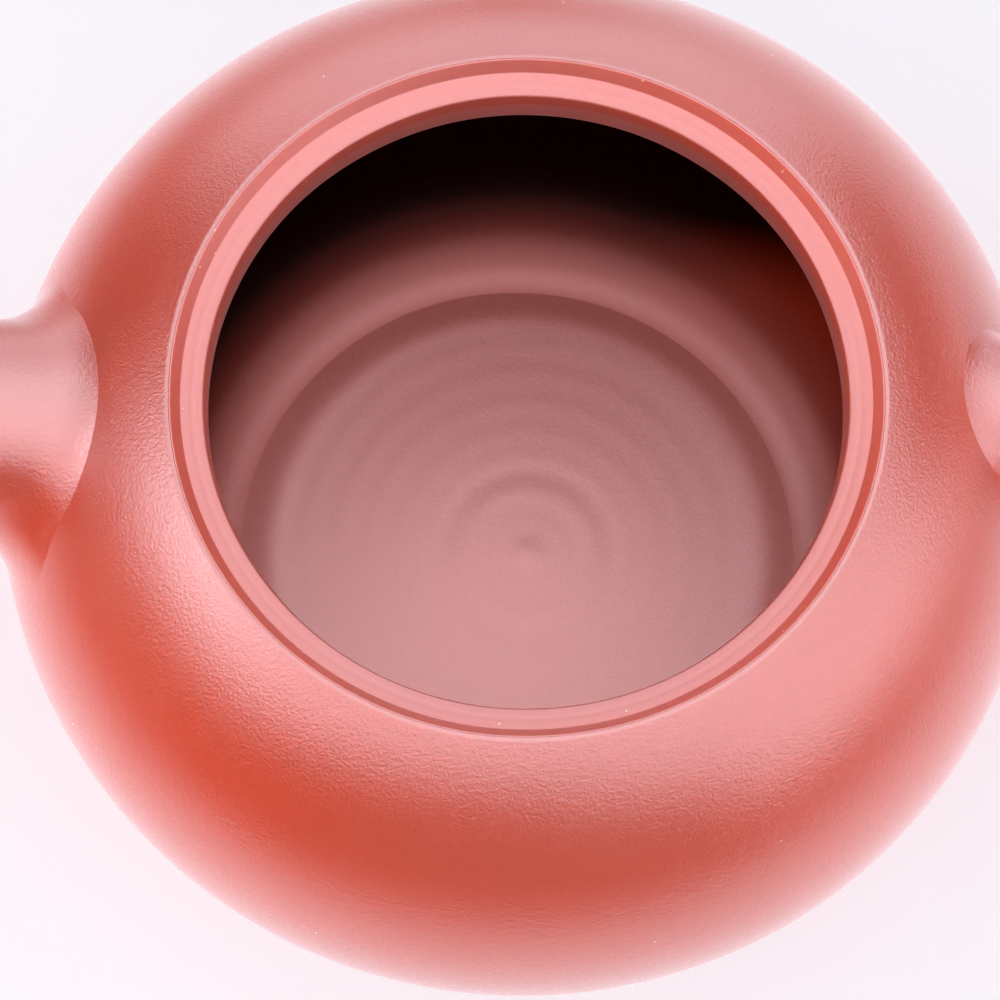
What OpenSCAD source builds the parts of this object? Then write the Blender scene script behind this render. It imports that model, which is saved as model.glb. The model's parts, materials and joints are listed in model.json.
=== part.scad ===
// Round clay teapot with an inset lid that has been taken off and laid behind it.
// Units are millimetres. +Z is up, the origin is the centre of the foot on the table,
// the spout points along -X and the handle along +X.

/* [Body] */
// Radius of the belly at its widest line
belly_r = 46; // [42:0.5:52]
// Radius of the curve that runs from the foot over the belly to the mouth
curve_r = 27.5; // [25:0.5:30]
// Angle below the belly line at which the curve ends on the foot
curve_low_angle = 70; // [60:1:74]
// Thickness of the clay wall
wall_t = 3; // [2.4:0.1:3.4]
// Thickness of the base disc
base_t = 2.5; // [2:0.1:3.5]

/* [Foot] */
// Height of the foot ring
foot_h = 1.2; // [0.8:0.1:2.5]
// Width of the foot ring's face
foot_w = 2.8; // [2:0.1:4]
// Inset of the foot ring from the edge of the body
foot_inset = 0.4; // [0:0.1:1.5]

/* [Mouth] */
// Radius of the shoulder edge around the mouth
mouth_r = 30; // [28:0.5:33]
// Width of the shoulder strip that belongs to the mouth ring
mouth_land = 0.8; // [0.5:0.1:2]
// Width of the bevel inside the shoulder edge
bevel_w = 0.8; // [0.4:0.1:1.2]
// Depth of the bevel
bevel_h = 1.2; // [0.8:0.1:2]
// Width of the ledge that carries the lid
ledge_w = 1.7; // [1.4:0.1:2.4]
// Fall of the ledge towards the opening
ledge_fall = 0.6; // [0.2:0.1:1]
// Width of the taper between the ledge and the neck
taper_w = 0.5; // [0.2:0.1:1]
// Depth of the taper
taper_h = 1.2; // [0.6:0.1:2]
// Length of the straight neck below the taper
neck_h = 2.2; // [1:0.1:3]

/* [Spout] */
// Distance from the pot's axis to the middle of the spout's lip
spout_reach = 70; // [62:0.5:80]
// Height of the middle of the spout's lip
spout_lip_h = 52; // [44:0.5:58]
// Height at which the spout's centre line leaves the body
spout_root_h = 39.5; // [37:0.5:41]
// Radius of the spout where it meets the body
spout_root_r = 11.5; // [10.5:0.5:13]
// Radius of the spout at its lip
spout_lip_r = 5.4; // [4.8:0.1:6.5]
// Thickness of the spout's wall
spout_wall = 1.7; // [1.2:0.1:2.2]
// Slope of the centre line where it leaves the body
spout_root_slope = 26; // [16:1:34]
// Slope of the centre line at the lip
spout_lip_slope = 44; // [30:1:60]

/* [Strainer] */
// Radius of the opening through the wall behind the spout
drain_r = 7.6; // [6:0.2:8.4]
// Thickness of the strainer
strainer_t = 1.8; // [1.2:0.1:2.2]
// Depth of the strainer's skirt inside the pot
strainer_skirt = 1.6; // [1:0.1:3]
// Diameter of one strainer hole
strainer_hole_d = 1.8; // [1:0.1:2]
// Angle between two rings of strainer holes
strainer_pitch = 22; // [18:1:24]

/* [Handle] */
// Distance from the pot's axis to the outside of the handle
handle_reach = 72; // [66:0.5:80]
// Height of the handle's upper root
handle_top_h = 41; // [38:0.5:44]
// Height of the handle's lower root
handle_low_h = 15; // [12:0.5:20]
// Rise of the handle's shoulder above its upper root
handle_rise = 12; // [6:0.5:16]
// Width of the handle
handle_w = 9; // [6:0.5:12]
// Thickness of the handle between the fingers and the palm
handle_t = 8; // [6:0.5:10]
// Growth of the handle where it is luted to the body
handle_flare = 2.4; // [0:0.1:4]

/* [Lid] */
// Gap between the lid's edge and the bevel
lid_gap = 0.3; // [0.2:0.05:0.6]
// Gap between the seated lid and its ledge
seat_gap = 0.2; // [0.1:0.05:0.4]
// Height of the lid's upright edge
lid_edge_h = 1.4; // [1:0.1:2.4]
// Rise of the lid's dome above its edge
dome_rise = 6; // [4.5:0.25:7.5]
// Thickness of the lid's dome
lid_t = 2.6; // [2:0.1:3.2]
// Gap between the collar under the lid and the neck
collar_gap = 0.5; // [0.3:0.05:0.9]
// Thickness of the collar
collar_t = 2.2; // [1.6:0.1:3]
// Depth of the collar
collar_h = 5; // [3:0.25:6]

/* [Knob] */
// Radius of the knob
knob_r = 6.3; // [5:0.1:8]
// Height of the knob above the dome
knob_h = 10.5; // [9.5:0.25:13]
// Radius of the knob's rounded side
knob_round = 4.8; // [4:0.1:5]
// Radius of the knob's neck
knob_neck_r = 3.4; // [2.6:0.1:4]
// Diameter of the air hole through the knob and the dome
air_hole_d = 2; // [1.4:0.1:2.6]

/* [Lid at rest] */
// Gap between the lid and the table when it lies behind the pot
rest_gap = 0.1; // [0:0.05:0.3]

/* [Hidden] */

clay = "#c65a40";       // fired red clay
clay_dark = "#b04c36";  // the same clay in the recess and under the foot
round_fn = 180;
hole_fn = 32;
past = 1;               // how far a cutting body runs past the face that it cuts

// The belly is one arc, turned about the pot's axis.
curve_c = belly_r - curve_r;
belly_h = foot_h + curve_r * sin(curve_low_angle);
base_edge_r = curve_c + curve_r * cos(curve_low_angle);
inner_curve_r = curve_r - wall_t;
function outer_z(r) = belly_h + sqrt(max(0, curve_r ^ 2 - (r - curve_c) ^ 2));
function outer_r(z) = curve_c + sqrt(max(0, curve_r ^ 2 - (z - belly_h) ^ 2));
function inner_z(r) = belly_h + sqrt(max(0, inner_curve_r ^ 2 - (r - curve_c) ^ 2));
function inner_r(z) = curve_c + sqrt(max(0, inner_curve_r ^ 2 - (z - belly_h) ^ 2));

floor_z = foot_h + base_t;
base_r = inner_r(floor_z);
foot_r = base_edge_r - foot_inset;
body_top = belly_h + curve_r;

// The mouth: shoulder edge, bevel, ledge, taper and straight neck.
mouth_z = outer_z(mouth_r);
ring_r = mouth_r + mouth_land;
ledge_r = mouth_r - bevel_w;
ledge_z = mouth_z - bevel_h;
taper_r = ledge_r - ledge_w;
taper_z = ledge_z - ledge_fall;
neck_r = taper_r - taper_w;
neck_z = taper_z - taper_h;
ring_z = min(neck_z - neck_h, inner_z(ring_r) - past);

// The lid, drawn with its underside at z = 0 and its knob upwards.
lid_r = ledge_r - lid_gap;
dome_r = (lid_r ^ 2 + dome_rise ^ 2) / (2 * dome_rise);
dome_top = lid_edge_h + dome_rise;
dome_c = dome_top - dome_r;
collar_r = neck_r - collar_gap;
knob_c_r = knob_r - knob_round;
knob_c_z = dome_top + knob_h - knob_round;
seat_z = ledge_z + seat_gap;

// The lid lies upside down on its knob and its far edge. It gets there by turning
// back over a line that is level with its seat.
knob_drop = knob_c_z - lid_edge_h;
knob_span = lid_r - knob_c_r;
lid_tilt = atan(knob_drop / knob_span) + asin(knob_round / norm([knob_drop, knob_span]));
turn_y = (seat_z - rest_gap - lid_edge_h * cos(lid_tilt)) / sin(lid_tilt) - lid_r;
lid_rest_y = turn_y * (1 + cos(lid_tilt));
lid_rest_z = seat_z - turn_y * sin(lid_tilt);

// The drain opening stands square to the wall.
drain_tilt = asin((spout_root_h - belly_h) / curve_r);
drain_sink = curve_r - sqrt(curve_r ^ 2 - drain_r ^ 2);
strainer_base = inner_curve_r - strainer_skirt;

// A cubic curve in the X-Z plane, as point [x, z] and direction.
function curve_at(p, t) = (1 - t) ^ 3 * p[0] + 3 * t * (1 - t) ^ 2 * p[1]
    + 3 * t ^ 2 * (1 - t) * p[2] + t ^ 3 * p[3];
function curve_dir(p, t) = 3 * (1 - t) ^ 2 * (p[1] - p[0]) + 6 * t * (1 - t) * (p[2] - p[1])
    + 3 * t ^ 2 * (p[3] - p[2]);
function unit(v) = v / norm(v);

// One oval ring of points across a curve: half as thick as "thick" in the curve's plane
// and half as wide as "wide" along Y.
function ring_at(p, t, thick, wide, sides) =
    let (c = curve_at(p, t), d = unit(curve_dir(p, t)))
    [for (i = [0:sides - 1])
        let (a = 360 * i / sides, n = thick * cos(a))
        [c[0] - d[1] * n, wide * sin(a), c[1] + d[0] * n]];

// A closed tube through rings that all have the same number of points.
module skin(rings) {
    sides = len(rings[0]);
    last = len(rings) - 1;
    walls = [for (k = [0:last - 1], i = [0:sides - 1])
        let (j = (i + 1) % sides)
        each [[k * sides + i, k * sides + j, (k + 1) * sides + i],
              [k * sides + j, (k + 1) * sides + j, (k + 1) * sides + i]]];
    start = [for (i = [sides - 1:-1:0]) i];
    finish = [for (i = [0:sides - 1]) last * sides + i];
    polyhedron(points = [for (r = rings) each r], faces = concat(walls, [start, finish]));
}

// The spout starts inside the wall and is trimmed by the body.
spout_sides = 32;
spout_steps = 14;
spout_depth = 8;       // how far the untrimmed spout starts inside the body
spout_taper = 1.2;     // how fast the root narrows towards the lip
spout_start = [-(outer_r(spout_root_h) - spout_depth),
               spout_root_h - spout_depth * tan(spout_root_slope)];
spout_end = [-spout_reach, spout_lip_h];
spout_arm = norm(spout_end - spout_start) / 3;
spout_path = [spout_start,
              spout_start + spout_arm * [-cos(spout_root_slope), sin(spout_root_slope)],
              spout_end - spout_arm * [-cos(spout_lip_slope), sin(spout_lip_slope)],
              spout_end];
function spout_r(t) = spout_lip_r + (spout_root_r - spout_lip_r) * (1 - t) ^ spout_taper;

// The handle is one C-shaped bar between its two roots.
handle_sides = 20;
handle_steps = 30;
handle_depth = 8;      // how far the untrimmed ends run into the body
handle_flare_end = 0.16;
handle_top_x = outer_r(handle_top_h) - handle_depth;
handle_low_x = outer_r(handle_low_h) - handle_depth;
handle_arm_x = (8 * (handle_reach - handle_t / 2) - handle_top_x - handle_low_x) / 6;
handle_path = [[handle_top_x, handle_top_h - handle_depth * handle_rise / handle_arm_x],
               [handle_arm_x, handle_top_h + handle_rise],
               [handle_arm_x, handle_low_h + handle_rise / 3],
               [handle_low_x, handle_low_h]];
function flare_at(t) = handle_flare * (max(0, 1 - min(t, 1 - t) / handle_flare_end)) ^ 2;

// Outline of everything inside the body's outer skin.
module outer_outline(low, high) {
    intersection() {
        union() {
            translate([curve_c, belly_h]) circle(r = curve_r, $fn = round_fn);
            translate([0, belly_h - curve_r]) square([curve_c, 2 * curve_r]);
        }
        translate([0, low]) square([belly_r + past, high - low]);
    }
}

// Outline of the hollow inside the wall.
module inner_outline() {
    intersection() {
        union() {
            translate([curve_c, belly_h]) circle(r = inner_curve_r, $fn = round_fn);
            translate([0, belly_h - inner_curve_r]) square([curve_c, 2 * inner_curve_r]);
        }
        translate([0, belly_h - curve_r]) square([belly_r, 2 * curve_r]);
    }
}

module body_solid() {
    rotate_extrude($fn = round_fn) outer_outline(foot_h, body_top);
}

// Puts +Z on the line through the drain opening, pointing out of the wall.
module on_drain_axis() {
    translate([-curve_c, 0, belly_h])
    rotate([0, drain_tilt - 90, 0])
    children();
}

module body_wall() {
    color(clay)
    difference() {
        rotate_extrude($fn = round_fn)
        difference() {
            outer_outline(foot_h, body_top);
            inner_outline();
            square([base_r, belly_h]);
            translate([0, belly_h]) square([ring_r, curve_r + past]);
        }
        on_drain_axis()
        cylinder(r = drain_r, h = curve_r + past, $fn = 2 * hole_fn);
    }
}

module mouth_ring() {
    color(clay_dark)
    rotate_extrude($fn = round_fn)
    difference() {
        intersection() {
            outer_outline(ring_z, body_top);
            square([ring_r, body_top + past]);
        }
        polygon([[0, ring_z - past], [neck_r, ring_z - past], [neck_r, neck_z],
                 [taper_r, taper_z], [ledge_r, ledge_z], [mouth_r, mouth_z],
                 [mouth_r, body_top + past], [0, body_top + past]]);
    }
}

module base_disc() {
    color(clay)
    translate([0, 0, foot_h])
    cylinder(r = base_r, h = base_t, $fn = round_fn);
}

module foot_ring() {
    color(clay_dark)
    difference() {
        cylinder(r = foot_r, h = foot_h, $fn = round_fn);
        translate([0, 0, -past])
        cylinder(r = foot_r - foot_w, h = foot_h + 2 * past, $fn = round_fn);
    }
}

module spout() {
    color(clay)
    difference() {
        skin([for (k = [0:spout_steps])
            let (t = k / spout_steps, r = spout_r(t))
            ring_at(spout_path, t, r, r, spout_sides)]);
        skin([for (k = [-1:spout_steps + 1])
            let (t = k / spout_steps, r = spout_r(min(1, max(0, t))) - spout_wall)
            ring_at(spout_path, t, r, r, spout_sides)]);
        body_solid();
    }
}

// A perforated dome on a short skirt, luted into the drain opening.
module strainer() {
    color(clay_dark)
    on_drain_axis()
    difference() {
        union() {
            translate([0, 0, strainer_base])
            cylinder(r = drain_r, h = curve_r - drain_sink - strainer_base, $fn = 2 * hole_fn);
            translate([0, 0, strainer_base])
            sphere(r = drain_r, $fn = 2 * hole_fn);
        }
        translate([0, 0, strainer_base]) {
            cylinder(r = drain_r - strainer_t, h = curve_r, $fn = 2 * hole_fn);
            sphere(r = drain_r - strainer_t, $fn = 2 * hole_fn);
            for (ring = [0:2], i = [0:max(1, 6 * ring) - 1])
                rotate([0, 0, 360 * i / max(1, 6 * ring)])
                rotate([0, 180 - strainer_pitch * ring, 0])
                translate([0, 0, drain_r - strainer_t - past])
                cylinder(d = strainer_hole_d, h = strainer_t + 2 * past, $fn = hole_fn);
        }
    }
}

module handle() {
    color(clay)
    difference() {
        skin([for (k = [0:handle_steps])
            let (t = k / handle_steps, f = flare_at(t))
            ring_at(handle_path, t, handle_t / 2 + f, handle_w / 2 + f, handle_sides)]);
        body_solid();
    }
}

// Places a lid piece, drawn as if the lid stood upright at z = 0, where the lid lies.
module laid_down() {
    translate([0, lid_rest_y, lid_rest_z])
    rotate([-180 - lid_tilt, 0, 0])
    children();
}

module air_hole() {
    translate([0, 0, -past])
    cylinder(d = air_hole_d, h = knob_c_z + knob_round + 2 * past, $fn = hole_fn);
}

module dome_outline(r) {
    translate([0, dome_c]) circle(r = r, $fn = 4 * round_fn);
}

module lid_plate() {
    color(clay)
    laid_down()
    difference() {
        rotate_extrude($fn = round_fn)
        difference() {
            intersection() {
                dome_outline(dome_r);
                square([lid_r, dome_top + past]);
            }
            intersection() {
                dome_outline(dome_r - lid_t);
                translate([0, -past]) square([collar_r - collar_t, dome_top + past]);
            }
        }
        air_hole();
    }
}

module lid_collar() {
    color(clay_dark)
    laid_down()
    translate([0, 0, -collar_h])
    difference() {
        cylinder(r = collar_r, h = collar_h, $fn = round_fn);
        translate([0, 0, -past])
        cylinder(r = collar_r - collar_t, h = collar_h + 2 * past, $fn = round_fn);
    }
}

module knob() {
    color(clay)
    laid_down()
    difference() {
        rotate_extrude($fn = round_fn)
        difference() {
            union() {
                intersection() {
                    translate([knob_c_r, knob_c_z]) circle(r = knob_round, $fn = round_fn);
                    translate([0, knob_c_z - knob_round]) square([knob_r + past, 2 * knob_round]);
                }
                translate([0, knob_c_z - knob_round]) square([knob_c_r, 2 * knob_round]);
                translate([0, dome_c]) square([knob_neck_r, knob_c_z - dome_c]);
            }
            dome_outline(dome_r);
        }
        air_hole();
    }
}

body_wall();
mouth_ring();
base_disc();
foot_ring();
spout();
strainer();
handle();
lid_plate();
lid_collar();
knob();
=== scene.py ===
import json
import math

import bpy
from mathutils import Matrix, Vector


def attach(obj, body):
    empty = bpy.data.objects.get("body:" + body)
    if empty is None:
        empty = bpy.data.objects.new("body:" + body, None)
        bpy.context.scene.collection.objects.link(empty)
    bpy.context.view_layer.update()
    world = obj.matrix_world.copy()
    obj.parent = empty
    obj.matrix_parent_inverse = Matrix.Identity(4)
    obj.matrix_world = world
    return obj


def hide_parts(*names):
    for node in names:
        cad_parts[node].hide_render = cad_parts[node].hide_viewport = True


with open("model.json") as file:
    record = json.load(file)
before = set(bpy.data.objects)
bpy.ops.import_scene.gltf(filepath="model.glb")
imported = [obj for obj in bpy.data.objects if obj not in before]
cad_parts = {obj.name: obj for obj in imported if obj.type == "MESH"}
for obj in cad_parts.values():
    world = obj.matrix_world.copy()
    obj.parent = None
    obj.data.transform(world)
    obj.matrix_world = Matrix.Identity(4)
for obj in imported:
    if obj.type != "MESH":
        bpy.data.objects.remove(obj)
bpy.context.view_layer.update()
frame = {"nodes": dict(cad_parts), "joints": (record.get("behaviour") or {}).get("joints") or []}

mm = 0.001
onAxis = 1e-6   # mm, a point nearer to the axis than this counts as lying on it
print("frame loaded")


def lerp(a, b, t):
    return a + (b - a) * t


def smoothStep(low, high, value):
    t = min(1.0, max(0.0, (value - low) / (high - low)))
    return t * t * (3 - 2 * t)


# One ridge (positive height) or groove (negative height) across an outline.
def bump(value, middle, width, height):
    return height * math.exp(-((value - middle) / (0.5 * width)) ** 2)


def arc(centre, radius, startDeg, endDeg, count):
    points = []
    for i in range(count + 1):
        angle = math.radians(lerp(startDeg, endDeg, i / count))
        points.append((centre[0] + radius * math.cos(angle), centre[1] + radius * math.sin(angle)))
    return points


# Rounds the corners of an outline. Each corner is (r, z, rounding).
def roundCorners(corners, closed=True, steps=7):
    points = []
    count = len(corners)
    longestShare = 0.48   # of a side, so that the roundings of its two ends never meet
    for i, (r, z, rounding) in enumerate(corners):
        here = Vector((r, z))
        if rounding == 0 or (not closed and i in (0, count - 1)):
            points.append((r, z))
            continue
        before = Vector(corners[i - 1][:2]) - here
        after = Vector(corners[(i + 1) % count][:2]) - here
        half = before.angle(after) / 2
        reach = min(rounding / math.tan(half), longestShare * before.length, longestShare * after.length)
        first = here + before.normalized() * reach
        last = here + after.normalized() * reach
        for k in range(steps + 1):
            t = k / steps
            spot = first * (1 - t) ** 2 + here * 2 * t * (1 - t) + last * t ** 2
            points.append((spot.x, spot.y))
    return points


# Splits long stretches so that tool marks and hand-made unevenness have points to move.
def refine(points, longest, closed=True):
    out = []
    count = len(points)
    for i, (r, z) in enumerate(points):
        out.append((r, z))
        if i == count - 1 and not closed:
            break
        nextR, nextZ = points[(i + 1) % count]
        pieces = max(1, math.ceil(math.hypot(nextR - r, nextZ - z) / longest))
        for k in range(1, pieces):
            out.append((lerp(r, nextR, k / pieces), lerp(z, nextZ, k / pieces)))
    return out


def turnedBy(p, degrees):
    x, y, z = p
    lean = math.radians(degrees)
    return (x * math.cos(lean) - y * math.sin(lean), x * math.sin(lean) + y * math.cos(lean), z)


# The signed volume tells whether the faces look outwards; a piece wound the other way is turned over.
def facingOut(points, faces):
    volume = 0.0
    for face in faces:
        a = Vector(points[face[0]])
        for k in range(1, len(face) - 1):
            volume += a.dot(Vector(points[face[k]]).cross(Vector(points[face[k + 1]])))
    return faces if volume > 0 else [tuple(reversed(face)) for face in faces]


def newPiece(name, points, faces, sharpEdges=()):
    faces = facingOut(points, faces)
    mesh = bpy.data.meshes.new(name)
    mesh.from_pydata([(x * mm, y * mm, z * mm) for x, y, z in points], [], faces)
    mesh.shade_smooth()
    mesh.validate()
    if sharpEdges:
        wanted = {tuple(sorted(pair)) for pair in sharpEdges}
        marks = [tuple(sorted(edge.vertices)) in wanted for edge in mesh.edges]
        layer = mesh.attributes.new("sharp_edge", "BOOLEAN", "EDGE")
        layer.data.foreach_set("value", marks)
    piece = bpy.data.objects.new(name, mesh)
    bpy.context.scene.collection.objects.link(piece)
    return piece


# Turns a closed outline about the Z axis. Points on the axis become one pole.
def turned(name, outline, segments, shape=None, sharpAt=()):
    points = []
    rows = []
    for r, z in outline:
        if r < onAxis:
            rows.append([len(points)] * segments)
            points.append((0.0, 0.0, z))
            continue
        row = []
        for s in range(segments):
            angle = 2 * math.pi * s / segments
            row.append(len(points))
            points.append((r * math.cos(angle), r * math.sin(angle), z))
        rows.append(row)
    faces = []
    sharp = []
    for i, row in enumerate(rows):
        other = rows[(i + 1) % len(rows)]
        for s in range(segments):
            n = (s + 1) % segments
            loop = [row[s], row[n], other[n], other[s]]
            face = [v for k, v in enumerate(loop) if v != loop[k - 1]]
            if len(face) > 2:
                faces.append(face)
            if i in sharpAt:
                sharp.append((row[s], row[n]))
    if shape:
        points = [shape(p) for p in points]
    return newPiece(name, points, faces, sharp)


# Joins rows of points into a tube. Looped, its last row meets its first; otherwise flat ends close it.
def tube(name, rows, shape, looped, sharpRows):
    sides = len(rows[0])
    faces = []
    for k in range(len(rows) if looped else len(rows) - 1):
        other = (k + 1) % len(rows)
        for i in range(sides):
            n = (i + 1) % sides
            faces.append((k * sides + i, k * sides + n, other * sides + n, other * sides + i))
    if not looped:
        lastRow = (len(rows) - 1) * sides
        faces += [tuple(reversed(range(sides))), tuple(range(lastRow, lastRow + sides))]
    sharp = [(k * sides + i, k * sides + (i + 1) % sides) for k in sharpRows for i in range(sides)]
    return newPiece(name, [shape(p) for row in rows for p in row], faces, sharp)


# Sizes in millimetres: the belly is one arc turned about the axis.
pot = {
    "bellyRadius": 46.0,
    "curveRadius": 27.5,
    "curveLowAngle": 70.0,    # degrees below the belly's widest line at which the arc meets the foot
    "wall": 3.0,
    "footHeight": 1.2,
    "floorHeight": 3.7,
    "mouthRingRadius": 30.8,
    "segments": 360,
    "handUnevenness": 0.035,
    "evenRadius": 8.0,        # mm, nothing is uneven nearer to the axis than this
    "unevenRadius": 30.0,     # mm, from here outwards the unevenness is at its full size
    "unevenHeight": 8.0,      # mm, and from here upwards
    # Each wave: its weight, bulges in one turn, mm of height for one radian, start.
    "waves": ((1.0, 2, math.inf, 0.9), (0.6, 3, 9.0, 2.1), (0.35, 7, -5.0, 0.4), (0.25, 11, 3.4, 0.0)),
}
curveCentre = pot["bellyRadius"] - pot["curveRadius"]
bellyHeight = pot["footHeight"] + pot["curveRadius"] * math.sin(math.radians(pot["curveLowAngle"]))
innerCurve = pot["curveRadius"] - pot["wall"]
arcMiddle = (curveCentre, bellyHeight)


def angleAtRadius(curve, r):
    return math.degrees(math.acos((r - curveCentre) / curve))


def angleAtHeight(curve, z):
    return math.degrees(math.asin((z - bellyHeight) / curve))


# The slight unevenness that a paddle and a bamboo rib leave on a pot built by hand.
def handMade(p):
    x, y, z = p
    r = math.hypot(x, y)
    if r < onAxis:
        return p
    angle = math.atan2(y, x)
    wave = 0.0
    for weight, bulges, rise, start in pot["waves"]:
        wave += weight * math.sin(bulges * angle + z / rise + start)
    outwards = smoothStep(pot["evenRadius"], pot["unevenRadius"], r)
    upwards = smoothStep(0, pot["unevenHeight"], z)
    grow = pot["handUnevenness"] * wave * outwards * upwards
    return (x + grow * x / r, y + grow * y / r, z)


# Nearest point of the body: angle round the axis, angle on the belly curve, distance outside.
def onBody(p):
    r = math.hypot(p.x, p.y)
    lift = Vector((r - curveCentre, p.z - bellyHeight))
    return math.atan2(p.y, p.x), math.atan2(lift.y, lift.x), lift.length - pot["curveRadius"]


def bodySpot(around, along, outside):
    reach = pot["curveRadius"] + outside
    r = curveCentre + reach * math.cos(along)
    return Vector((r * math.cos(around), r * math.sin(around), bellyHeight + reach * math.sin(along)))


def bodyNormal(around, along):
    flat = math.cos(along)
    return Vector((flat * math.cos(around), flat * math.sin(around), math.sin(along)))


wall = {
    "scrapePitch": 3.1,       # mm between the rings that the scraper left inside
    "scrapeDepth": 0.006,
    "finerPitch": 0.57,       # a second set of rings, as shares of the first one's pitch and depth
    "finerDepth": 0.5,
    "finerStart": 1.1,
    "scrapeStart": 3.0,       # mm from the floor within which the rings come in
    "scrapeEnd": 5.0,         # mm from the mouth ring within which they end
    "floorSeamWidth": 2.6,    # mm, the pressed-in seam where wall and floor meet
    "floorSeamDepth": 0.05,
    "arcStep": 1.0,           # degrees between points outside; inside they stand twice as close
}
innerEdge = angleAtHeight(innerCurve, pot["floorHeight"])
baseRadius = arc(arcMiddle, innerCurve, innerEdge, innerEdge, 1)[0][0]
ringEdge = angleAtRadius(pot["curveRadius"], pot["mouthRingRadius"])
innerRingEdge = angleAtRadius(innerCurve, pot["mouthRingRadius"])
outerCount = round((ringEdge + pot["curveLowAngle"]) / wall["arcStep"])
innerCount = 2 * round((innerRingEdge - innerEdge) / wall["arcStep"])
outer = arc(arcMiddle, pot["curveRadius"], -pot["curveLowAngle"], ringEdge, outerCount)
inner = []
for i in range(innerCount + 1):
    angle = math.radians(lerp(innerRingEdge, innerEdge, i / innerCount))
    travel = innerCurve * (angle - math.radians(innerEdge))
    toMouth = innerCurve * math.radians(innerRingEdge) - innerCurve * angle
    fade = smoothStep(0, wall["scrapeStart"], travel) * smoothStep(0, wall["scrapeEnd"], toMouth)
    finerTurn = 2 * math.pi * travel / (wall["finerPitch"] * wall["scrapePitch"]) + wall["finerStart"]
    rings = math.sin(2 * math.pi * travel / wall["scrapePitch"]) + wall["finerDepth"] * math.sin(finerTurn)
    mark = wall["scrapeDepth"] * rings
    seam = bump(travel, 0.0, wall["floorSeamWidth"], wall["floorSeamDepth"])
    reach = innerCurve + mark * fade + seam
    inner.append((curveCentre + reach * math.cos(angle), bellyHeight + reach * math.sin(angle)))
inner[-1] = (baseRadius, inner[-1][1])
wallOutline = outer + inner + [(baseRadius, pot["footHeight"])]
bodyWall = turned("bodyWall", wallOutline, pot["segments"], handMade,
                  sharpAt=(0, len(outer) - 1, len(outer), len(wallOutline) - 2, len(wallOutline) - 1))
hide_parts("body_wall")
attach(bodyWall, "pot")
print("wall made")

mouth = {
    "shoulderRadius": 29.75,
    "landWidth": 0.45,         # mm, the flat that is rubbed along the shoulder edge
    "landSlope": 0.14,
    "landSteps": 12,
    "bevelWidth": 0.8,
    "bevelDepth": 1.2,
    "ledgeWidth": 1.93,
    "ledgeFall": 0.6,
    "ledgeLineWidth": 0.3,     # mm, the line that the trimming tool scored on the ledge
    "ledgeLineDepth": 0.03,
    "ledgeLineReach": 0.2,     # mm above and below the ledge within which it is drawn
    "taperWidth": 0.25,
    "taperDepth": 1.2,
    "neckDepth": 2.9,
    "undersideWidth": 2.2,     # mm, the nearly level underside of the neck
    "undersideRise": 0.1,
    "wallOverlap": 0.15,       # mm that the ring reaches down past the wall's inner edge
    "roundings": (0.18, 0.22, 0.32, 0.8, 0.7, 0.8),   # mm, from the shoulder's edge down to the underside
    "pointSpacing": 0.22,
}
shoulderAngle = angleAtRadius(pot["curveRadius"], mouth["shoulderRadius"])
mouthHeight = bellyHeight + pot["curveRadius"] * math.sin(math.radians(shoulderAngle))
ledgeRadius = mouth["shoulderRadius"] - mouth["bevelWidth"]
ledgeHeight = mouthHeight - mouth["bevelDepth"]
taperRadius = ledgeRadius - mouth["ledgeWidth"]
taperHeight = ledgeHeight - mouth["ledgeFall"]
neckRadius = taperRadius - mouth["taperWidth"]
neckHeight = taperHeight - mouth["taperDepth"]
neckFoot = neckHeight - mouth["neckDepth"]
wallInside = bellyHeight + innerCurve * math.sin(math.radians(innerRingEdge))
land = arc(arcMiddle, pot["curveRadius"], ringEdge, shoulderAngle, mouth["landSteps"])
landRadius = mouth["shoulderRadius"] + mouth["landWidth"]
landAngle = math.radians(angleAtRadius(pot["curveRadius"], landRadius))
landHeight = bellyHeight + pot["curveRadius"] * math.sin(landAngle)
land = [(r, z if r > landRadius else landHeight + mouth["landSlope"] * (landRadius - r)) for r, z in land]
recess = [land[-1], (ledgeRadius, ledgeHeight), (taperRadius, taperHeight),
          (neckRadius, neckHeight), (neckRadius, neckFoot),
          (neckRadius + mouth["undersideWidth"], neckFoot + mouth["undersideRise"])]
recess = [(r, z, rounding) for (r, z), rounding in zip(recess, mouth["roundings"])]
recess.append((pot["mouthRingRadius"], wallInside - mouth["wallOverlap"], 0))
rounded = roundCorners([land[0] + (0,)] + recess, closed=False)[1:]
ledgeMiddle = (ledgeRadius + taperRadius) / 2


def withLedgeLine(r, z):
    if not taperHeight - mouth["ledgeLineReach"] < z < ledgeHeight + mouth["ledgeLineReach"]:
        return (r, z)
    return (r, z - bump(r, ledgeMiddle, mouth["ledgeLineWidth"], mouth["ledgeLineDepth"]))


mouthOutline = land[:-1] + refine(rounded, mouth["pointSpacing"], closed=False)
mouthOutline = [withLedgeLine(r, z) for r, z in mouthOutline]
mouthRing = turned("mouthRing", mouthOutline, pot["segments"], handMade, sharpAt=(0, len(mouthOutline) - 1))
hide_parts("mouth_ring")
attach(mouthRing, "pot")
print("mouth ring made")

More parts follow.
